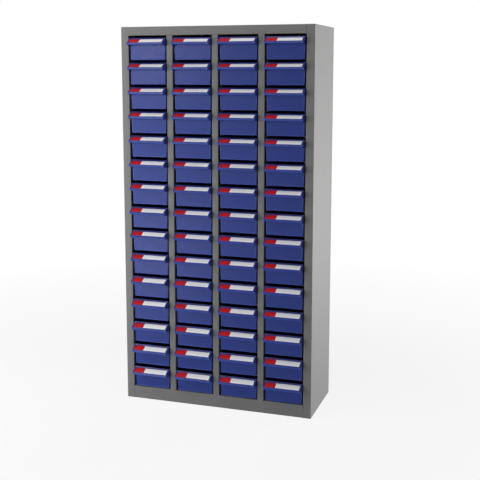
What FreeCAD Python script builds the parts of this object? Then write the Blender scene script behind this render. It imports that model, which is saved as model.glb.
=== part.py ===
import FreeCAD, Part
import math
import os

# Parts bin cabinet: a case of folded sheet steel with four columns of moulded plastic drawers.
# Millimetres, +Z up, drawers open towards -Y. The origin is the middle of the case's underside.

# The case
columns = 4
rows = 15
case_width = 600.0
case_height = 1160.0
case_depth = 240.0
sheet = 1.0
stile_width = 24.0
divider_width = 19.0
top_rail_height = 26.0
bottom_rail_height = 39.0
front_return = 20.0
rear_flange = 24.0
divider_lip = 7.0
notch_gap = 0.5

# The runners, an angle welded to each side of every column
runner_reach = 9.0
runner_leg = 10.0
runner_sheet = 1.0
runner_rear_gap = 3.0
stop_tab_drop = 3.4

# The drawers
drawer_side_gap = 2.9
drawer_seat_gap = 0.3
drawer_rear_gap = 4.0
head_gap = 6.2
panel_recess = 3.5
wall = 1.8
floor = 1.8
side_draft = 1.8
rear_draft = 2.0
corner_cut = 2.0
rim_below_crown = 4.8

# The hood over a drawer's front, which carries the card and is the pull
crown_reach = 0.4
slope_start_reach = 3.4
slope_start_drop = 4.6
slope_angle = 28.5
lip_reach = 25.0
lip_height = 6.7
lip_lean = 25.5
cheek_drop = 4.3
pocket_depth = 0.8
pocket_gap = 0.2
card_length = 107.0
card_height = 19.0
card_thickness = 0.5

# The two stop ears at the back of a drawer
ear_length = 9.0
ear_ramp = 6.0
ear_head_gap = 0.8
ear_to_rear = 24.7
stop_gap = 0.3

# The lowest rows have the drawers of two neighbouring columns in one file
shared_rows = 4
drawers_in_shared_file = 2

# Worked out from the sizes above
overrun = sheet
right = case_width / 2
left = -right
front = -case_depth / 2
rear = case_depth / 2
back_panel_face = rear - sheet
flange_face = back_panel_face - sheet
opening_left = left + stile_width
opening_top = case_height - top_rail_height
opening_bottom = bottom_rail_height
opening_width = (case_width - 2 * stile_width - (columns - 1) * divider_width) / columns
row_pitch = (opening_top - opening_bottom) / rows
runner_front = front + front_return
runner_rear = back_panel_face - runner_rear_gap
drawer_width = opening_width - 2 * drawer_side_gap
crown = row_pitch - head_gap
rim = crown - rim_below_crown
panel_face = front + panel_recess
drawer_rear = back_panel_face - drawer_rear_gap
ear_face = drawer_rear - ear_to_rear - ear_length
drawer_travel = ear_face - stop_gap - (runner_front + runner_sheet)
slope = math.tan(math.radians(slope_angle))
lean = math.tan(math.radians(lip_lean))


def vector(x, y, z):
    return FreeCAD.Vector(x, y, z)


def box(low, high):
    """A block between two corners."""
    size = [b - a for a, b in zip(low, high)]
    return Part.makeBox(*size, vector(*low))


def face_through(corners):
    """A flat face with these corners."""
    return Part.Face(Part.makePolygon([*corners, corners[0]]))


def joined(first, *others):
    """One solid from touching shapes, with the seams between flat faces taken out."""
    return first.multiFuse(list(others)).removeSplitter().Solids[0]


def mirrored(shape):
    """The same piece on the other side of the case."""
    return shape.mirror(vector(0, 0, 0), vector(1, 0, 0))


def toward(a, b):
    """The unit step from one point of a section to another."""
    length = math.dist(a, b)
    return (b[0] - a[0]) / length, (b[1] - a[1]) / length


def moved(point, direction, amount):
    return point[0] + direction[0] * amount, point[1] + direction[1] * amount


def folded_section(path, hidden, place):
    """The section of a folded sheet, round outside each fold except the hidden ones.

    path is its outside line. It turns left at each fold, and the sheet lies on its left.
    place turns a point of the section into a point in space.
    """
    steps = [toward(a, b) for a, b in zip(path, path[1:])]
    lefts = [(-dy, dx) for dx, dy in steps]
    edges = []
    inside = [moved(path[0], lefts[0], sheet)]
    at = path[0]
    for corner, before, after, inward in zip(path[1:-1], steps, steps[1:], lefts):
        begin = moved(corner, before, -sheet)
        centre = moved(begin, inward, sheet)
        inside.append(centre)
        if corner in hidden:
            edges.append(Part.LineSegment(place(*at), place(*corner)).toShape())
            at = corner
            continue
        end = moved(corner, after, sheet)
        middle = moved(centre, toward(centre, corner), sheet)
        edges.append(Part.LineSegment(place(*at), place(*begin)).toShape())
        edges.append(Part.Arc(place(*begin), place(*middle), place(*end)).toShape())
        at = end
    inside.append(moved(path[-1], lefts[-1], sheet))
    rest = [at, path[-1], *reversed(inside), path[0]]
    for a, b in zip(rest, rest[1:]):
        edges.append(Part.LineSegment(place(*a), place(*b)).toShape())
    return Part.Face(Part.Wire(edges))


def upright(path, low, high, hidden=()):
    """A folded sheet that stands on its section, drawn in X and Y."""
    face = folded_section(path, hidden, lambda x, y: vector(x, y, low))
    return face.extrude(vector(0, 0, high - low))


def crosswise(path):
    """A folded sheet between the two stiles, from its section in Y and Z."""
    face = folded_section(path, (), lambda y, z: vector(opening_left, y, z))
    return face.extrude(vector(-2 * opening_left, 0, 0))


def column_left(column):
    """The left edge of a column's opening."""
    return opening_left + column * (opening_width + divider_width)


def row_base(row):
    """The height that a row stands at. Row 0 is the top one, and row -1 is the guide over it."""
    return opening_top - (row + 1) * row_pitch


def side_panel():
    """The left side: its wall, front stile and rear flange. The stile turns in between top and bottom sheets."""
    plain = [(opening_left, back_panel_face), (left, back_panel_face), (left, front), (opening_left, front)]
    with_return = [*plain, (opening_left, front + front_return)]
    return joined(
        upright(plain, 0, sheet),
        upright(with_return, sheet, case_height - sheet),
        upright(plain, case_height - sheet, case_height),
    )


def end_sheet(folded, low):
    """A top or bottom panel, widened behind the stiles to reach the side walls."""
    depth = front + sheet, flange_face
    wings = [
        box((x, depth[0], low), (x + stile_width - sheet, depth[1], low + sheet))
        for x in (left + sheet, -opening_left)
    ]
    return joined(folded, *wings)


def top_panel():
    path = [
        (back_panel_face, case_height - rear_flange),
        (back_panel_face, case_height),
        (front, case_height),
        (front, opening_top),
        (front + front_return, opening_top),
    ]
    return end_sheet(crosswise(path), case_height - sheet)


def bottom_panel():
    path = [
        (front + front_return, opening_bottom),
        (front, opening_bottom),
        (front, 0),
        (back_panel_face, 0),
        (back_panel_face, rear_flange),
    ]
    return end_sheet(crosswise(path), 0)


def side_liner():
    """The inner wall beside the left column, lapped onto the stile's return and the rear flange."""
    face = opening_left - sheet
    path = [(face, front + sheet), (face, flange_face), (left + sheet, flange_face)]
    return upright(path, sheet, case_height - sheet, hidden=path[1:2])


def column_divider():
    """A channel about X = 0, notched round the rails and the rear flanges."""
    half = divider_width / 2
    path = [
        (divider_lip - half, back_panel_face),
        (-half, back_panel_face),
        (-half, front),
        (half, front),
        (half, back_panel_face),
        (half - divider_lip, back_panel_face),
    ]
    channel = upright(path, sheet, case_height - sheet, hidden=(path[1], path[4]))
    front_notch = front - overrun, front + front_return + notch_gap
    rear_notch = flange_face - notch_gap, rear
    rear_low, rear_high = rear_flange + notch_gap, case_height - rear_flange - notch_gap
    for depth, low, high in (
        (front_notch, 0, opening_bottom),
        (front_notch, opening_top, case_height),
        (rear_notch, 0, rear_low),
        (rear_notch, rear_high, case_height),
    ):
        channel = channel.cut(box((-divider_width, depth[0], low), (divider_width, depth[1], high)))
    return channel.removeSplitter().Solids[0]


def divider_middles():
    return [column_left(c) - divider_width / 2 for c in range(1, columns)]


def runner(seat, reach):
    """An angle with its upper face at Z = 0 and its leg down a wall at X = seat.

    The flange comes out to X = reach, and its front end is bent down to stop the drawer below.
    """
    leg_face = seat + math.copysign(runner_sheet, reach - seat)
    section = [
        (seat, 0), (reach, 0), (reach, -runner_sheet),
        (leg_face, -runner_sheet), (leg_face, -runner_leg), (seat, -runner_leg),
    ]
    end = face_through([vector(x, runner_front, z) for x, z in section])
    angle = end.extrude(vector(0, runner_rear - runner_front, 0))
    tab_edges = sorted((leg_face, reach))
    tab = box(
        (tab_edges[0], runner_front, -runner_sheet - stop_tab_drop),
        (tab_edges[1], runner_front + runner_sheet, -runner_sheet),
    )
    return joined(angle, tab)


def runners():
    """Every runner: one level under each row, and one over the top row."""
    half = divider_width / 2
    beside_liner = runner(opening_left - sheet, opening_left + runner_reach)
    level = [beside_liner, mirrored(beside_liner)]
    for middle in divider_middles():
        beside_divider = runner(half, half + runner_reach)
        for angle in (beside_divider, mirrored(beside_divider)):
            level.append(angle.translated(vector(middle, 0, 0)))
    return [angle.translated(vector(0, 0, row_base(row))) for row in range(-1, rows) for angle in level]


def level_outline(low_x, high_x, low_y, high_y, cut, height):
    """A level rectangle with its corners cut off. A cut of nothing leaves four corners."""
    points = [
        (low_x + cut, low_y), (high_x - cut, low_y), (high_x, low_y + cut), (high_x, high_y - cut),
        (high_x - cut, high_y), (low_x + cut, high_y), (low_x, high_y - cut), (low_x, low_y + cut),
    ]
    return [vector(x, y, height) for (x, y), after in zip(points, points[1:] + points[:1]) if (x, y) != after]


def between(lower, upper):
    """The solid between two level outlines with as many corners and parallel sides."""
    sides = [
        face_through([lower[i - 1], lower[i], upper[i], upper[i - 1]])
        for i in range(len(lower))
    ]
    solid = Part.Solid(Part.Shell([face_through(lower), face_through(upper), *sides]))
    if solid.Volume < 0:
        solid.reverse()
    return solid


def tub(inset, cut, bottom, top):
    """The drawer's tapered tub between two heights, or with an inset its hollow."""
    def outline(height):
        narrow = (rim - height) / (rim - drawer_seat_gap)
        side = drawer_side_gap + side_draft * narrow + inset
        back = drawer_rear - rear_draft * narrow - inset
        return level_outline(side, opening_width - side, panel_face + inset, back, cut, height)

    return between(outline(bottom), outline(top))


def along_drawer(outline, low_x, high_x):
    """A side view, in reach from the case's front and in height, carried across the drawer."""
    corners = [vector(low_x, front - reach, height) for reach, height in outline]
    return face_through(corners).extrude(vector(high_x - low_x, 0, 0))


def slope_height(reach):
    """The height of the hood's sloping face."""
    return crown - slope_start_drop - (reach - slope_start_reach) * slope


fold_reach = lip_reach - lip_height * lean
lip_bottom = slope_height(fold_reach) - lip_height


def hood():
    """The crown, the sloping card plate, the lip and the two cheeks, hollow from below for the fingers."""
    low, high = drawer_side_gap, opening_width - drawer_side_gap
    panel = -panel_recess
    inner_panel = panel - wall
    cheek_bottom = lip_bottom - cheek_drop
    outline = [
        (inner_panel, crown), (crown_reach, crown), (slope_start_reach, slope_height(slope_start_reach)),
        (fold_reach, slope_height(fold_reach)), (lip_reach, lip_bottom),
        (panel, cheek_bottom), (inner_panel, cheek_bottom),
    ]
    plate_drop = wall / math.cos(math.radians(slope_angle))
    lip_width = wall / math.cos(math.radians(lip_lean))
    lip_inside = lip_reach - lip_width
    rise = slope_height(lip_inside) - plate_drop - lip_bottom
    inner_fold = lip_inside - lean * rise / (1 - lean * slope)
    below = cheek_bottom - overrun
    hollow = [
        (panel, below), (panel, slope_height(panel) - plate_drop),
        (inner_fold, slope_height(inner_fold) - plate_drop), (lip_inside + lean * (lip_bottom - below), below),
    ]
    return along_drawer(outline, low, high).cut(along_drawer(hollow, low + wall, high - wall))


def plate_on_slope(length, height, bottom, top):
    """A thin block in the middle of the hood's sloping face, between two depths below it."""
    middle = opening_width / 2
    reach = (slope_start_reach + fold_reach) / 2
    angle = math.radians(slope_angle)
    down = math.cos(angle), -math.sin(angle)
    inward = -math.sin(angle), -math.cos(angle)
    centre = reach, slope_height(reach)
    outline = [
        moved(moved(centre, down, along), inward, depth)
        for along, depth in ((-height / 2, bottom), (height / 2, bottom), (height / 2, top), (-height / 2, top))
    ]
    return along_drawer(outline, middle - length / 2, middle + length / 2)


def stop_ear(low_x):
    """A fin on the rim, which meets the stop tab of the runner above when the drawer is out."""
    top = row_pitch - runner_sheet - ear_head_gap
    foot = rim - wall
    end = ear_face + ear_length
    side = [(ear_face, foot), (end, foot), (end, rim), (end - ear_ramp, top), (ear_face, top)]
    return face_through([vector(low_x, y, z) for y, z in side]).extrude(vector(wall, 0, 0))


def drawer():
    """A tray and its card, with the opening's left edge at X = 0 and the runner's upper face at Z = 0."""
    low, high = drawer_side_gap, opening_width - drawer_side_gap
    outside = tub(0, corner_cut, drawer_seat_gap, rim)
    shell = joined(outside, hood(), stop_ear(low), stop_ear(high - wall))
    hollow = tub(wall, 0, drawer_seat_gap + floor, rim)
    above = box((low + wall, panel_face + wall, rim), (high - wall, drawer_rear - wall, row_pitch))
    pocket = plate_on_slope(card_length + pocket_gap, card_height + pocket_gap, pocket_depth, -overrun)
    tray = shell.cut(hollow).cut(above).cut(pocket).removeSplitter().Solids[0]
    card = plate_on_slope(card_length, card_height, pocket_depth, pocket_depth - card_thickness)
    return [tray, card]


def write(name, solids):
    """Writes one node. Several solids go in as separate pieces."""
    shape = solids[0] if len(solids) == 1 else Part.makeCompound(solids)
    shape.exportStep(os.path.join("parts", name + ".step"))


def write_case():
    side = side_panel()
    liner = side_liner()
    divider = column_divider()
    write("side_panel_left", [side])
    write("side_panel_right", [mirrored(side)])
    write("top_panel", [top_panel()])
    write("bottom_panel", [bottom_panel()])
    write("back_panel", [box((left, back_panel_face, 0), (right, rear, case_height))])
    write("side_liners", [liner, mirrored(liner)])
    write("column_dividers", [divider.translated(vector(x, 0, 0)) for x in divider_middles()])
    write("runners", runners())


def write_drawers():
    pieces = drawer()
    for row in range(rows):
        in_file = drawers_in_shared_file if row >= rows - shared_rows else 1
        for first in range(0, columns, in_file):
            in_this = range(first, first + in_file)
            places = [vector(column_left(column), 0, row_base(row)) for column in in_this]
            name = "_".join(str(column + 1) for column in in_this)
            write(f"drawer_row{row + 1:02d}_col{name}", [p.translated(place) for place in places for p in pieces])


os.makedirs("parts", exist_ok=True)
write_case()
write_drawers()
print("opening", round(opening_width, 3), "row pitch", round(row_pitch, 3), "crown", round(crown, 3))
print("drawer width", round(drawer_width, 2), "length", round(drawer_rear - panel_face, 2))
print("drawer travel", round(drawer_travel, 3), "lip bottom", round(lip_bottom, 2))
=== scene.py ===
import math
import random

import bmesh
import bpy
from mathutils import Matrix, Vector


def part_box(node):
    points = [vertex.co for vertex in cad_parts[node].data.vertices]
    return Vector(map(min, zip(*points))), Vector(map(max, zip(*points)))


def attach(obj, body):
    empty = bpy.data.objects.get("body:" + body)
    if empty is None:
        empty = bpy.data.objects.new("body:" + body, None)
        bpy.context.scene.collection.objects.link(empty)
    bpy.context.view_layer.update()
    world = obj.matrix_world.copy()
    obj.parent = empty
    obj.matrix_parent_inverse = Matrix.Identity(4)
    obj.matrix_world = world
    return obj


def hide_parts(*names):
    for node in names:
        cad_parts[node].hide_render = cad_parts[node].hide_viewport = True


# Looks for a parts bin cabinet: a powder-coated steel case and moulded plastic drawers with label cards.
# Metres, in the frame of the solids. A drawer's own mesh starts at its left side and its underside.

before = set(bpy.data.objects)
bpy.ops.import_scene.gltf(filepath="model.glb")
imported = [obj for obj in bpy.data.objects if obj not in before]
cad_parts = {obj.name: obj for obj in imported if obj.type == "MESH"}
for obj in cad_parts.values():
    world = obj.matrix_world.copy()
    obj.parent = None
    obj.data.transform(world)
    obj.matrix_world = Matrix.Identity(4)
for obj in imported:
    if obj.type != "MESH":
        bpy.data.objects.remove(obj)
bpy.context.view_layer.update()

# The layout
columns = 4
rows = 15
shared_rows = 4
drawers_in_shared_node = 2

# The drawer, with the sizes of its solid
panel_recess = 0.0035
wall = 0.0018
floor = 0.0018
side_draft = 0.0018
rear_draft = 0.002
rim = 0.0617
crown = 0.0655
crown_reach = 0.0004
crown_thickness = 0.0022
crown_upstand = 0.0022
slope_start_reach = 0.0034
slope_start_height = 0.0619
slope_angle = math.radians(28.5)
lip_reach = 0.025
lip_height = 0.0067
lip_lean = math.radians(25.5)
cheek_drop = 0.0043
pocket_depth = 0.0008
pocket_gap = 0.0002
card_length = 0.107
card_height = 0.019
card_thickness = 0.0005
ear_length = 0.009
ear_ramp = 0.006
ear_to_rear = 0.0247

# The rounding and the fine detail that the drawer's solid leaves out
corner_radius = 0.0035
least_radius = 0.0005
foot_radius = 0.0025
floor_radius = 0.0022
rim_radius = 0.0005
crown_radius = 0.0012
crown_back_radius = 0.0006
valley_radius = 0.0016
fold_radius = 0.0013
lip_radius = 0.0008
hood_end_radius = 0.0024
edge_round = 0.0004
card_edge_round = 0.00012
quarter_steps = 6
edge_steps = 2
edge_profile_share = 0.5
merge_distance = 0.000001
large_face_weight = 100
field_depth = 0.0005
field_slope = 0.0009
field_border = 0.0034
field_radius = 0.004
rib_width = 0.001
rib_height = 0.0008
rib_gap = 0.0016
rib_pair_shares = (0.3, 0.5, 0.7)
overrun = 0.001

# How far the drawers and cards sit off the middle of their place, at most
drawer_play = 0.0007
card_play = 0.00035
seed = 7

# The case's rounding
sheet_edge_round = 0.0004
sheet_edge_steps = 2
sheet_edge_angle = math.radians(40)

# What the materials share: the stretch of a noise that is spread from nothing to one, and the measure of
# a rounded direction's turn between a paler edge (worn paint; on the plastic partly scuffs, partly painted
# highlight) and a flat face
noise_spread = (0.35, 0.65)
gloss_spread = (0.3, 0.7)
worn_and_highlit_turn = (0.75, 0.97)
edge_samples = 4

# Worked out from the frame and the sizes above
first_low, first_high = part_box("drawer_row01_col1")
second_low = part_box("drawer_row01_col2")[0]
case_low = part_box("side_panel_left")[0]
front = case_low.y
width = first_high.x - first_low.x
ear_top = first_high.z - first_low.z
rear = first_high.y
panel_face = front + panel_recess
column_pitch = second_low.x - first_low.x
slope = math.tan(slope_angle)
lean = math.tan(lip_lean)


def arc(centre, radius, start, end, steps=quarter_steps):
    """Points along an arc, from one angle in degrees to another."""
    points = []
    for step in range(steps + 1):
        angle = math.radians(start + (end - start) * step / steps)
        points.append((centre[0] + radius * math.cos(angle), centre[1] + radius * math.sin(angle)))
    return points


def filleted(corners, radii):
    """An outline with its corners rounded. A radius of nothing leaves a sharp corner."""
    outline = []
    for i, corner in enumerate(corners):
        at = Vector(corner)
        before = (Vector(corners[i - 1]) - at).normalized()
        after = (Vector(corners[(i + 1) % len(corners)]) - at).normalized()
        radius = radii[i]
        if not radius:
            outline.append(tuple(at))
            continue
        half = before.angle(after) / 2
        begin = at + before * (radius / math.tan(half))
        end = at + after * (radius / math.tan(half))
        centre = at + (before + after).normalized() * (radius / math.sin(half))
        for step in range(quarter_steps + 1):
            share = step / quarter_steps
            spoke = (begin - centre).lerp(end - centre, share).normalized()
            outline.append(tuple(centre + spoke * radius))
    return outline


def level_ring(low_x, high_x, low_y, high_y, radius, height):
    """The points of a level rounded rectangle."""
    ring = []
    for x, y, start in (
        (high_x - radius, low_y + radius, -90),
        (high_x - radius, high_y - radius, 0),
        (low_x + radius, high_y - radius, 90),
        (low_x + radius, low_y + radius, 180),
    ):
        ring += [(px, py, height) for px, py in arc((x, y), radius, start, start + 90)]
    return ring


def new_object(name, mesh):
    piece = bpy.data.objects.new(name, mesh)
    bpy.context.scene.collection.objects.link(piece)
    return piece


def mesh_of(bm, name):
    """A finished mesh with its faces outwards. The bmesh is freed."""
    bmesh.ops.recalc_face_normals(bm, faces=bm.faces)
    mesh = bpy.data.meshes.new(name)
    bm.to_mesh(mesh)
    bm.free()
    return mesh


def lofted(rings, name):
    """A closed mesh through rings with as many points each, capped at both ends."""
    bm = bmesh.new()
    levels = [[bm.verts.new(point) for point in ring] for ring in rings]
    for lower, upper in zip(levels, levels[1:]):
        for i in range(len(lower)):
            bm.faces.new((lower[i - 1], lower[i], upper[i], upper[i - 1]))
    bm.faces.new(levels[0])
    bm.faces.new(levels[-1])
    return mesh_of(bm, name)


def across(outline, low_x, high_x, name, rounding=0, least_angle=math.radians(40)):
    """A side view, in reach before the case's front and in height, carried across the drawer."""
    bm = bmesh.new()
    ends = [
        [bm.verts.new((x, front - reach, height)) for reach, height in outline]
        for x in (low_x, high_x)
    ]
    for i in range(len(outline)):
        bm.faces.new((ends[0][i - 1], ends[0][i], ends[1][i], ends[1][i - 1]))
    bm.faces.new(ends[0])
    bm.faces.new(ends[1])
    bmesh.ops.recalc_face_normals(bm, faces=bm.faces)
    if rounding:
        sharp = [e for e in bm.edges if e.calc_face_angle(0) > least_angle]
        bmesh.ops.bevel(
            bm, geom=sharp, offset=rounding, segments=edge_steps, profile=edge_profile_share,
            affect="EDGES", clamp_overlap=True,
        )
    return mesh_of(bm, name)


def applied(piece):
    """The mesh of a piece after its modifiers."""
    bpy.context.view_layer.update()
    return bpy.data.meshes.new_from_object(piece.evaluated_get(bpy.context.evaluated_depsgraph_get()))


def combined(base, others, operation):
    """The base mesh after a boolean with each of the other meshes."""
    piece = new_object("base", base)
    tools = bpy.data.collections.new("tools")
    helpers = [bpy.data.objects.new("tool", mesh) for mesh in others]
    for helper in helpers:
        tools.objects.link(helper)
    bpy.context.scene.collection.children.link(tools)
    modifier = piece.modifiers.new("combine", "BOOLEAN")
    modifier.operation = operation
    modifier.solver = "MANIFOLD"
    modifier.operand_type = "COLLECTION"
    modifier.collection = tools
    result = applied(piece)
    for helper in [piece, *helpers]:
        bpy.data.objects.remove(helper)
    bpy.data.collections.remove(tools)
    return result


def shade(mesh, least_angle=math.radians(32)):
    """The mesh with smooth shading, sharp where an edge turns by more than an angle, flat on large faces."""
    bm = bmesh.new()
    bm.from_mesh(mesh)
    bmesh.ops.remove_doubles(bm, verts=bm.verts, dist=merge_distance)
    for face in bm.faces:
        face.smooth = True
    for edge in bm.edges:
        edge.smooth = edge.calc_face_angle(0) < least_angle
    bm.to_mesh(mesh)
    bm.free()
    piece = new_object("shaded", mesh)
    modifier = piece.modifiers.new("weigh", "WEIGHTED_NORMAL")
    modifier.mode = "FACE_AREA"
    modifier.weight = large_face_weight
    modifier.keep_sharp = True
    result = applied(piece)
    bpy.data.objects.remove(piece)
    return result


# The drawer

def side_inset(height):
    """How far the side wall's outer face lies inside the drawer's width."""
    return side_draft * (rim - height) / rim


def tub_ring(inset, height):
    side = side_inset(height) + inset
    back = rear - rear_draft * (rim - height) / rim - inset
    radius = max(corner_radius - inset, least_radius)
    return level_ring(side, width - side, panel_face + inset, back, radius, height)


def tub():
    """The tapered tub with round corners: up its outside, over the rim and down its inside."""
    section = arc((foot_radius, foot_radius), foot_radius, 270, 180)
    section += arc((rim_radius, rim - rim_radius), rim_radius, 180, 90)
    section += arc((wall - rim_radius, rim - rim_radius), rim_radius, 90, 0)
    section += arc((wall + floor_radius, floor + floor_radius), floor_radius, 180, 270)
    return lofted([tub_ring(inset, height) for inset, height in section], "tub")


def slope_height(reach):
    """The height of the hood's sloping face."""
    return slope_start_height - (reach - slope_start_reach) * slope


fold_reach = lip_reach - lip_height * lean
lip_bottom = slope_height(fold_reach) - lip_height
cheek_bottom = lip_bottom - cheek_drop


def moved_in(corners, insets):
    """A clockwise outline after each side, from its corner to the next, has moved in by its own inset."""
    sides = []
    for i, inset in enumerate(insets):
        start = Vector(corners[i])
        along = (Vector(corners[(i + 1) % len(corners)]) - start).normalized()
        sides.append((start + Vector((along.y, -along.x)) * inset, along))
    moved = []
    for (before, before_along), (after, after_along) in zip([sides[-1], *sides[:-1]], sides):
        turn = before_along.cross(after_along)
        moved.append(tuple(after + after_along * ((before - after).cross(before_along) / -turn)))
    return moved


def hood_block():
    """The hood from outside, as a solid block with round ends. Its crown is a low upstand along its back."""
    panel = -panel_recess
    inner_panel = panel - wall
    crown_back = crown_reach - crown_thickness
    ledge = crown - crown_upstand
    corners = [
        (inner_panel, ledge), (crown_back, ledge), (crown_back, crown), (crown_reach, crown),
        (slope_start_reach, slope_start_height), (fold_reach, slope_height(fold_reach)),
        (lip_reach, lip_bottom), (panel, cheek_bottom), (inner_panel, cheek_bottom),
    ]
    radii = [0, 0, crown_back_radius, crown_radius, valley_radius, fold_radius, lip_radius, 0, 0]
    inset_shares = [1, -1, 1, 1, 1, 1, 1, 1, 0]
    sections = []
    for x, inset in arc((hood_end_radius, hood_end_radius), hood_end_radius, 180, 270):
        outline = filleted(moved_in(corners, [inset * share for share in inset_shares]), radii)
        sections.append((x, outline))
    sections += [(width - x, outline) for x, outline in reversed(sections)]
    rings = [[(x, front - reach, height) for reach, height in outline] for x, outline in sections]
    return lofted(rings, "hood")


def hood_hollow():
    """The space for the fingers, between the cheeks and open below."""
    panel = -panel_recess
    plate_drop = wall / math.cos(slope_angle)
    lip_width = wall / math.cos(lip_lean)
    lip_inside = lip_reach - lip_width
    rise = slope_height(lip_inside) - plate_drop - lip_bottom
    inner_fold = lip_inside - lean * rise / (1 - lean * slope)
    below = cheek_bottom - overrun
    ceiling = crown - crown_upstand - wall
    ceiling_reach = slope_start_reach + (slope_start_height - ceiling - plate_drop) / slope
    corners = [
        (panel, below), (panel, ceiling), (ceiling_reach, ceiling),
        (inner_fold, slope_height(inner_fold) - plate_drop),
        (lip_inside + lean * (lip_bottom - below), below),
    ]
    return across(filleted(corners, [0, fold_radius, 0, fold_radius, 0]), wall, width - wall, "hollow")


def on_slope(length, height, bottom, top, name, rounding=0):
    """A thin block in the middle of the hood's sloping face, between two depths below it."""
    reach = (slope_start_reach + fold_reach) / 2
    centre = Vector((reach, slope_height(reach)))
    down = Vector((math.cos(slope_angle), -math.sin(slope_angle)))
    inward = Vector((-math.sin(slope_angle), -math.cos(slope_angle)))
    outline = [
        tuple(centre + down * along + inward * depth)
        for along, depth in (
            (-height / 2, bottom), (height / 2, bottom), (height / 2, top), (-height / 2, top),
        )
    ]
    return across(outline, (width - length) / 2, (width + length) / 2, name, rounding)


def field():
    """What is cut from the front panel: a shallow field with round corners and sloping sides."""
    def ring(inset, y):
        low_z, high_z = field_border + inset, cheek_bottom - inset
        corners = [
            (field_border + side_inset(low_z) + inset, low_z),
            (width - field_border - side_inset(low_z) - inset, low_z),
            (width - field_border - side_inset(high_z) - inset, high_z),
            (field_border + side_inset(high_z) + inset, high_z),
        ]
        return [(x, y, z) for x, z in filleted(corners, [field_radius] * len(corners))]

    steps = [
        (-field_slope, panel_face - field_depth), (0, panel_face), (field_slope, panel_face + field_depth),
    ]
    return lofted([ring(inset, y) for inset, y in steps], "field")


def stop_ear(low_x):
    """The fin on the rim that meets the stop tab of the runner above."""
    ear_face = rear - ear_to_rear - ear_length
    foot = rim - wall
    outline = [
        (front - y, z) for y, z in (
            (ear_face, foot), (ear_face + ear_length, foot), (ear_face + ear_length, rim),
            (ear_face + ear_length - ear_ramp, ear_top), (ear_face, ear_top),
        )
    ]
    return across(outline, low_x, low_x + wall, "ear", edge_round)


def divider_ribs():
    """Pairs of low ribs inside both side walls, which hold a cross divider between them."""
    ribs = []
    sink = wall / 2
    for share in rib_pair_shares:
        middle = panel_face + share * (rear - panel_face)
        for start in (middle - rib_gap / 2 - rib_width, middle + rib_gap / 2):
            for side in (0, 1):
                def across_at(depth, height):
                    x = side_inset(height) + depth
                    return width - x if side else x

                bm = bmesh.new()
                corners = []
                for height in (floor - sink, rim - rim_radius):
                    for depth, y in (
                        (sink, start), (wall + rib_height, start),
                        (wall + rib_height, start + rib_width), (sink, start + rib_width),
                    ):
                        corners.append(bm.verts.new((across_at(depth, height), y, height)))
                bottom, top = corners[:4], corners[4:]
                bm.faces.new(bottom)
                bm.faces.new(top)
                for i in range(len(bottom)):
                    bm.faces.new((bottom[i - 1], bottom[i], top[i], top[i - 1]))
                ribs.append(mesh_of(bm, "rib"))
    return ribs


def tray_mesh():
    """The moulded drawer: tub, hood, stop ears and divider ribs in one piece."""
    pocket = on_slope(card_length + pocket_gap, card_height + pocket_gap, pocket_depth, -overrun, "pocket")
    solid = combined(tub(), [hood_block(), stop_ear(0), stop_ear(width - wall), *divider_ribs()], "UNION")
    mesh = combined(solid, [hood_hollow(), pocket, field()], "DIFFERENCE")
    mesh = shade(mesh)
    mesh.name = "tray"
    return mesh


def card_mesh():
    """A label card, on the floor of its pocket."""
    face_depth = pocket_depth - card_thickness
    mesh = on_slope(card_length, card_height, pocket_depth, face_depth, "card", card_edge_round)
    return shade(mesh)


# Materials

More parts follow.
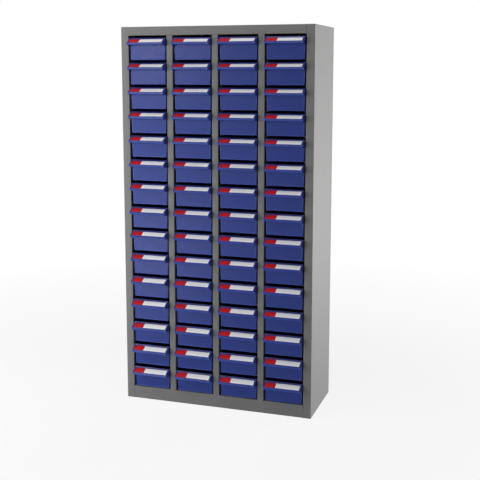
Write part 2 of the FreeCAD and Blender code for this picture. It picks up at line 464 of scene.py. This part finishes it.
class Surface:
    """A material under construction, with short calls for its nodes."""

    def __init__(self, name):
        self.material = bpy.data.materials.new(name)
        self.material.use_nodes = True
        self.tree = self.material.node_tree
        self.shader = self.tree.nodes["Principled BSDF"]
        self.place = self.add("ShaderNodeTexCoord").outputs["Object"]

    def add(self, kind, **settings):
        node = self.tree.nodes.new(kind)
        for name, value in settings.items():
            setattr(node, name, value)
        return node

    def put(self, value, socket):
        """A number, colour or another node's output into a socket."""
        if isinstance(value, bpy.types.NodeSocket):
            self.tree.links.new(value, socket)
        else:
            socket.default_value = value

    def noise(self, scale, detail, stretch=(1.0, 1.0, 1.0)):
        """Noise from nothing to one, with its scale in features a metre."""
        mapping = self.add("ShaderNodeMapping")
        mapping.inputs["Scale"].default_value = stretch
        self.put(self.place, mapping.inputs["Vector"])
        texture = self.add("ShaderNodeTexNoise")
        self.put(mapping.outputs["Vector"], texture.inputs["Vector"])
        texture.inputs["Scale"].default_value = scale
        texture.inputs["Detail"].default_value = detail
        return texture.outputs["Fac"]

    def math(self, operation, *values):
        node = self.add("ShaderNodeMath", operation=operation)
        for value, socket in zip(values, node.inputs):
            self.put(value, socket)
        return node.outputs[0]

    def ramp(self, value, low, high, to_low=0.0, to_high=1.0, smooth=False):
        """A value carried from one range to another and held at its ends."""
        node = self.add("ShaderNodeMapRange", interpolation_type="SMOOTHSTEP" if smooth else "LINEAR")
        for socket, number in zip(node.inputs, (value, low, high, to_low, to_high)):
            self.put(number, socket)
        return node.outputs["Result"]

    def mix(self, share, first, second, blend="MIX"):
        node = self.add("ShaderNodeMix", data_type="RGBA", blend_type=blend)
        for name, value in (("Factor_Float", share), ("A_Color", first), ("B_Color", second)):
            self.put(value, next(s for s in node.inputs if s.identifier == name))
        return next(s for s in node.outputs if s.identifier == "Result_Color")

    def bump(self, height, distance, strength, normal=None):
        node = self.add("ShaderNodeBump")
        self.put(height, node.inputs["Height"])
        node.inputs["Distance"].default_value = distance
        node.inputs["Strength"].default_value = strength
        if normal is not None:
            self.put(normal, node.inputs["Normal"])
        return node.outputs["Normal"]

    def rounded(self, radius):
        """The surface's direction, as if its edges were rounded to a radius."""
        node = self.add("ShaderNodeBevel", samples=edge_samples)
        node.inputs["Radius"].default_value = radius
        return node.outputs["Normal"]

    def edges(self, rounded):
        """One on flat faces and less beside an edge, from how far the rounded direction turns."""
        geometry = self.add("ShaderNodeNewGeometry")
        turn = self.add("ShaderNodeVectorMath", operation="DOT_PRODUCT")
        self.put(rounded, turn.inputs[0])
        self.put(geometry.outputs["Normal"], turn.inputs[1])
        return turn.outputs["Value"]

    def finish(self, **sockets):
        for name, value in sockets.items():
            self.put(value, self.shader.inputs[name.replace("_", " ")])
        return self.material


def grey_paint():
    """Satin powder coat: a fine orange peel, faint clouds and paler folds where it is rubbed."""
    base, pale, dark = (0.167, 0.167, 0.164, 1), (0.230, 0.230, 0.225, 1), (0.147, 0.147, 0.144, 1)
    cloud_scale, speck_scale, gloss_scale, wear_scale, peel_scale = 5.0, 1800.0, 300.0, 70.0, 620.0
    cloud_share, speck_share, worn_share = 0.25, 0.10, 0.7
    speck_spread, patch_spread, patch_shares = (0.4, 0.6), (0.3, 0.6), (0.45, 1.0)
    peel_depth, peel_strength = 0.00006, 0.4
    bend_radius = 0.0018
    roughness_range = (0.45, 0.51)
    specular = 0.3
    s = Surface("grey_paint")
    clouds = s.ramp(s.noise(cloud_scale, detail=3.0), *noise_spread)
    specks = s.ramp(s.noise(speck_scale, detail=1.0), *speck_spread)
    colour = s.mix(s.math("MULTIPLY", clouds, cloud_share), base, dark)
    colour = s.mix(s.math("MULTIPLY", specks, speck_share), colour, pale)
    bends = s.rounded(bend_radius)
    worn = s.ramp(s.edges(bends), *worn_and_highlit_turn, 1.0, 0.0)
    patchy = s.ramp(s.noise(wear_scale, detail=3.0), *patch_spread, *patch_shares)
    colour = s.mix(s.math("MULTIPLY", worn, s.math("MULTIPLY", patchy, worn_share)), colour, pale)
    peel = s.bump(s.noise(peel_scale, detail=1.0), peel_depth, peel_strength, bends)
    roughness = s.ramp(s.noise(gloss_scale, detail=2.0), *gloss_spread, *roughness_range)
    return s.finish(Base_Color=colour, Roughness=roughness, Normal=peel, Specular_IOR_Level=specular)


def blue_plastic():
    """Moulded polypropylene: a fine grain and faint flow streaks, a painted highlight that turns it paler
    towards its sides and underside, paler edges that are partly scuffs and partly painted highlight, and
    painted shade on the hood's sloping face.
    """
    base, deep, pale = (0.0105, 0.0345, 0.262, 1), (0.0090, 0.0310, 0.240, 1), (0.050, 0.085, 0.360, 1)
    flow_scale, gloss_scale, grain_scale = 14.0, 84.0, 2600.0
    flow_stretch = (1.0, 1.0, 2.4)
    flow_share, scuff_and_highlight_share = 0.5, 0.5
    grain_depth, grain_strength = 0.00003, 0.5
    scuff_radius = 0.0009
    # How far the painted highlight along the sides and underside reaches, and how strong it is
    band_width = 0.0036
    band_start_share, band_end_share, painted_highlight_share = 0.5, 1.25, 0.7
    # The painted shade on the hood's sloping face: how deep below it the darkening begins, and how dark it
    # is
    holder_depth = 0.0022
    painted_slope_shade = (0.42, 0.44, 0.56, 1)
    roughness_range = (0.30, 0.36)
    specular = 0.32
    s = Surface("blue_plastic")
    streaks = s.ramp(s.noise(flow_scale, detail=3.0, stretch=flow_stretch), *noise_spread)
    colour = s.mix(s.math("MULTIPLY", streaks, flow_share), base, deep)
    place = s.add("ShaderNodeSeparateXYZ")
    s.put(s.place, place.inputs[0])
    x, y, z = place.outputs["X"], place.outputs["Y"], place.outputs["Z"]
    from_side = s.math("MINIMUM", x, s.math("SUBTRACT", width, x))
    from_edge = s.math("MINIMUM", s.math("SUBTRACT", from_side, side_draft / 2), z)
    # Painted highlight: paler towards the drawer's sides and underside, in place of the light that the front
    # panel's edges catch
    band_start, band_end = band_width * band_start_share, band_width * band_end_share
    painted_edge_highlight = s.ramp(from_edge, band_start, band_end, 1.0, 0.0, smooth=True)
    colour = s.mix(s.math("MULTIPLY", painted_edge_highlight, painted_highlight_share), colour, pale)
    # Painted shade: the hood's sloping face and what lies over it are darkened, in place of the shade that
    # falls there
    to_slope = s.math("SUBTRACT", y, front - slope_start_reach)
    slope_plane = s.math("MULTIPLY_ADD", to_slope, slope, slope_start_height)
    painted_shade_mask = s.ramp(s.math("SUBTRACT", z, slope_plane), -holder_depth, -holder_depth / 2)
    colour = s.mix(painted_shade_mask, colour, painted_slope_shade, "MULTIPLY")
    # Paler edges: partly scuffs, partly a painted highlight where the rounded edges would catch light
    scuffs_and_highlight = s.ramp(s.edges(s.rounded(scuff_radius)), *worn_and_highlit_turn, 1.0, 0.0)
    colour = s.mix(s.math("MULTIPLY", scuffs_and_highlight, scuff_and_highlight_share), colour, pale)
    grain = s.bump(s.noise(grain_scale, detail=1.0), grain_depth, grain_strength)
    roughness = s.ramp(s.noise(gloss_scale, detail=2.0), *gloss_spread, *roughness_range)
    return s.finish(Base_Color=colour, Roughness=roughness, Normal=grain, Specular_IOR_Level=specular)


def label_card():
    """Printed card: a red index end on white stock, with the stock's fibres in both."""
    white, grey = (0.800, 0.797, 0.812, 1), (0.733, 0.730, 0.745, 1)
    red, dark_red = (0.500, 0.010, 0.018, 1), (0.410, 0.008, 0.014, 1)
    red_share = 0.31
    print_soft = 0.0002
    fibre_scale, ink_scale = 900.0, 260.0
    fibre_stretch = (0.4, 1.0, 1.0)
    fibre_depth, fibre_strength = 0.00002, 0.4
    fibre_share, ink_share = 0.5, 0.6
    roughness, specular = 0.6, 0.15
    s = Surface("label_card")
    place = s.add("ShaderNodeSeparateXYZ")
    s.put(s.place, place.inputs[0])
    print_end = (width - card_length) / 2 + card_length * red_share
    printed = s.ramp(place.outputs["X"], print_end - print_soft, print_end + print_soft, 1.0, 0.0)
    fibres = s.ramp(s.noise(fibre_scale, detail=3.0, stretch=fibre_stretch), *noise_spread)
    stock = s.mix(s.math("MULTIPLY", fibres, fibre_share), white, grey)
    blots = s.ramp(s.noise(ink_scale, detail=3.0), *noise_spread)
    ink = s.mix(s.math("MULTIPLY", blots, ink_share), red, dark_red)
    colour = s.mix(printed, stock, ink)
    texture = s.bump(fibres, fibre_depth, fibre_strength)
    return s.finish(Base_Color=colour, Roughness=roughness, Normal=texture, Specular_IOR_Level=specular)


# The pieces

def node_of(row, column):
    """The node that a drawer is in, and the drawer's number among those in it."""
    if row < rows - shared_rows:
        return f"drawer_row{row + 1:02d}_col{column + 1}", 0
    number = column % drawers_in_shared_node
    first = column - number + 1
    return f"drawer_row{row + 1:02d}_col{first}_{first + 1}", number


def place_drawer(tray, card, row, column, draw):
    """One tray and its card on their node's body, a little off the middle of their opening."""
    tag = f"row{row + 1:02d}_col{column + 1}"
    node, number = node_of(row, column)
    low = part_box(node)[0]
    shift = draw.uniform(-drawer_play, drawer_play)
    card_shift = draw.uniform(-card_play, card_play)
    for name, mesh, extra, slot in (
        ("tray", tray, 0, "blue_plastic"),
        ("label", card, card_shift, "label_card"),
    ):
        piece = new_object(f"{name}_{tag}", mesh)
        piece.location = (low.x + number * column_pitch + shift + extra, 0, low.z)
        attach(piece, node)
        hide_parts(node)


def make_drawers():
    """All the drawers, from one tray mesh and one card mesh."""
    tray, card = tray_mesh(), card_mesh()
    tray.materials.clear()
    tray.materials.append(blue_plastic())
    card.materials.append(label_card())
    draw = random.Random(seed)
    for row in range(rows):
        for column in range(columns):
            place_drawer(tray, card, row, column, draw)


def dress_case():
    """Paint and softened edges on the sheet metal, which keeps its solids' shape."""
    paint = grey_paint()
    for name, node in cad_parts.items():
        if name.startswith("drawer_"):
            continue
        node.data.materials.clear()
        node.data.materials.append(paint)
        if name == "runners":
            continue
        bevel = node.modifiers.new("edges", "BEVEL")
        bevel.width = sheet_edge_round
        bevel.segments = sheet_edge_steps
        bevel.limit_method = "ANGLE"
        bevel.angle_limit = sheet_edge_angle
        bevel.harden_normals = True


# The stage

plain_white = (1, 1, 1, 1)


def white_for_rays(tree):
    """One for the rays that show the background, and nothing for those that carry light to the object."""
    path = tree.nodes.new("ShaderNodeLightPath")
    either = tree.nodes.new("ShaderNodeMath")
    either.operation = "MAXIMUM"
    tree.links.new(path.outputs["Is Camera Ray"], either.inputs[0])
    tree.links.new(path.outputs["Is Glossy Ray"], either.inputs[1])
    all_three = tree.nodes.new("ShaderNodeMath")
    all_three.operation = "MAXIMUM"
    tree.links.new(either.outputs[0], all_three.inputs[0])
    tree.links.new(path.outputs["Is Transmission Ray"], all_three.inputs[1])
    return all_three.outputs[0]


def make_world():
    """A white background, and a dim even fill on the object."""
    fill = (0.95, 0.97, 1.0, 1)
    fill_strength = 0.05
    world = bpy.data.worlds.new("studio")
    bpy.context.scene.world = world
    world.use_nodes = True
    tree = world.node_tree
    lit = tree.nodes["Background"]
    lit.inputs["Color"].default_value = fill
    lit.inputs["Strength"].default_value = fill_strength
    shown = tree.nodes.new("ShaderNodeBackground")
    shown.inputs["Color"].default_value = plain_white
    shown.inputs["Strength"].default_value = 1
    mix = tree.nodes.new("ShaderNodeMixShader")
    tree.links.new(white_for_rays(tree), mix.inputs["Fac"])
    tree.links.new(lit.outputs["Background"], mix.inputs[1])
    tree.links.new(shown.outputs["Background"], mix.inputs[2])
    tree.links.new(mix.outputs["Shader"], tree.nodes["World Output"].inputs["Surface"])


def make_floor():
    """A pale floor that stays white round the object and keeps its shadow."""
    reach = 12.0
    pale = (0.65, 0.65, 0.65, 1)
    near_glow_share, fade_start, fade_end = 0.86, 0.7, 2.2
    bm = bmesh.new()
    bm.faces.new([bm.verts.new((x * reach, y * reach, 0)) for x, y in ((-1, -1), (1, -1), (1, 1), (-1, 1))])
    plane = new_object("floor", mesh_of(bm, "floor"))
    material = bpy.data.materials.new("pale_floor")
    material.use_nodes = True
    tree = material.node_tree
    tree.nodes.clear()
    lit = tree.nodes.new("ShaderNodeBsdfDiffuse")
    lit.inputs["Color"].default_value = pale
    shown = tree.nodes.new("ShaderNodeEmission")
    shown.inputs["Color"].default_value = plain_white
    place = tree.nodes.new("ShaderNodeTexCoord")
    far = tree.nodes.new("ShaderNodeVectorMath")
    far.operation = "LENGTH"
    tree.links.new(place.outputs["Object"], far.inputs[0])
    glow = tree.nodes.new("ShaderNodeMapRange")
    tree.links.new(far.outputs["Value"], glow.inputs[0])
    for socket, number in zip(list(glow.inputs)[1:], (fade_start, fade_end, near_glow_share, 1.0)):
        socket.default_value = number
    share = tree.nodes.new("ShaderNodeMath")
    share.operation = "MULTIPLY"
    tree.links.new(white_for_rays(tree), share.inputs[0])
    tree.links.new(glow.outputs["Result"], share.inputs[1])
    mix = tree.nodes.new("ShaderNodeMixShader")
    tree.links.new(share.outputs[0], mix.inputs["Fac"])
    tree.links.new(lit.outputs["BSDF"], mix.inputs[1])
    tree.links.new(shown.outputs["Emission"], mix.inputs[2])
    output = tree.nodes.new("ShaderNodeOutputMaterial")
    tree.links.new(mix.outputs["Shader"], output.inputs["Surface"])
    plane.data.materials.append(material)


def soft_light(name, place, target, size, power):
    """A softbox, as wide and high as its size says, that faces a point."""
    light = bpy.data.lights.new(name, "AREA")
    light.shape = "RECTANGLE"
    light.size, light.size_y = size
    light.energy = power
    lamp = new_object(name, light)
    lamp.location = place
    lamp.rotation_euler = (Vector(target) - Vector(place)).to_track_quat("-Z", "Y").to_euler()


def make_lights():
    """A key light close at the left, four small lights at the front left whose sheen fades across the
    drawers, two for the right side from behind it, and one from above."""
    # Each lamp's place, the point that it faces, its width and height, and its power in watts
    lamps = {
        "key": ((-1.15, -0.8, 0.76), (-0.25, -0.1, 0.74), (0.35, 1.3), 12.8),
        "sheen": ((-1.39, -2.61, 1.2), (-0.2, -0.1, 1.0), (0.3, 0.3), 8.2),
        "low_sheen": ((-1.35, -2.61, 0.08), (-0.2, -0.1, 0.5), (0.3, 0.14), 4.4),
        "high_sheen": ((-2.0, -2.5, 3.9), (-0.2, -0.1, 0.9), (0.4, 0.4), 18),
        "floor_sheen": ((-0.8, -1.3, 0.06), (-0.1, -0.1, 0.4), (0.3, 0.1), 0.8),
        "side": ((2.9, 2.65, 0.8), (0.3, 0, 0.6), (0.8, 1.8), 84),
        "low_side": ((2.4, 1.9, 0.1), (0.3, 0, 0.1), (0.7, 0.2), 46),
        "top": ((0.3, -1.05, 3.9), (0.1, -0.1, 0.6), (1.6, 1.6), 53),
    }
    for name, (place, target, size, power) in lamps.items():
        soft_light(name, place, target, size, power)


def make_camera():
    """The photograph's view: a long lens from the front right, at the height of the top drawers."""
    image_size = 480
    focal_pixels = 895.3
    centre_row = 204
    yaw = math.radians(18.42)
    pitch = math.radians(8.42)
    right_of_middle, before_front, eye_height = 0.9069, 2.4899, 1.0277
    sensor = 36.0
    camera = bpy.data.cameras.new("camera")
    camera.sensor_width = sensor
    camera.lens = focal_pixels / image_size * sensor
    camera.shift_y = (centre_row - image_size / 2) / image_size
    holder = new_object("camera", camera)
    holder.location = (right_of_middle, front - before_front, eye_height)
    holder.rotation_euler = (math.pi / 2 - pitch, 0, yaw)
    bpy.context.scene.camera = holder


bpy.context.scene.view_settings.view_transform = "Standard"
make_camera()
make_world()
make_floor()
make_lights()
dress_case()
make_drawers()
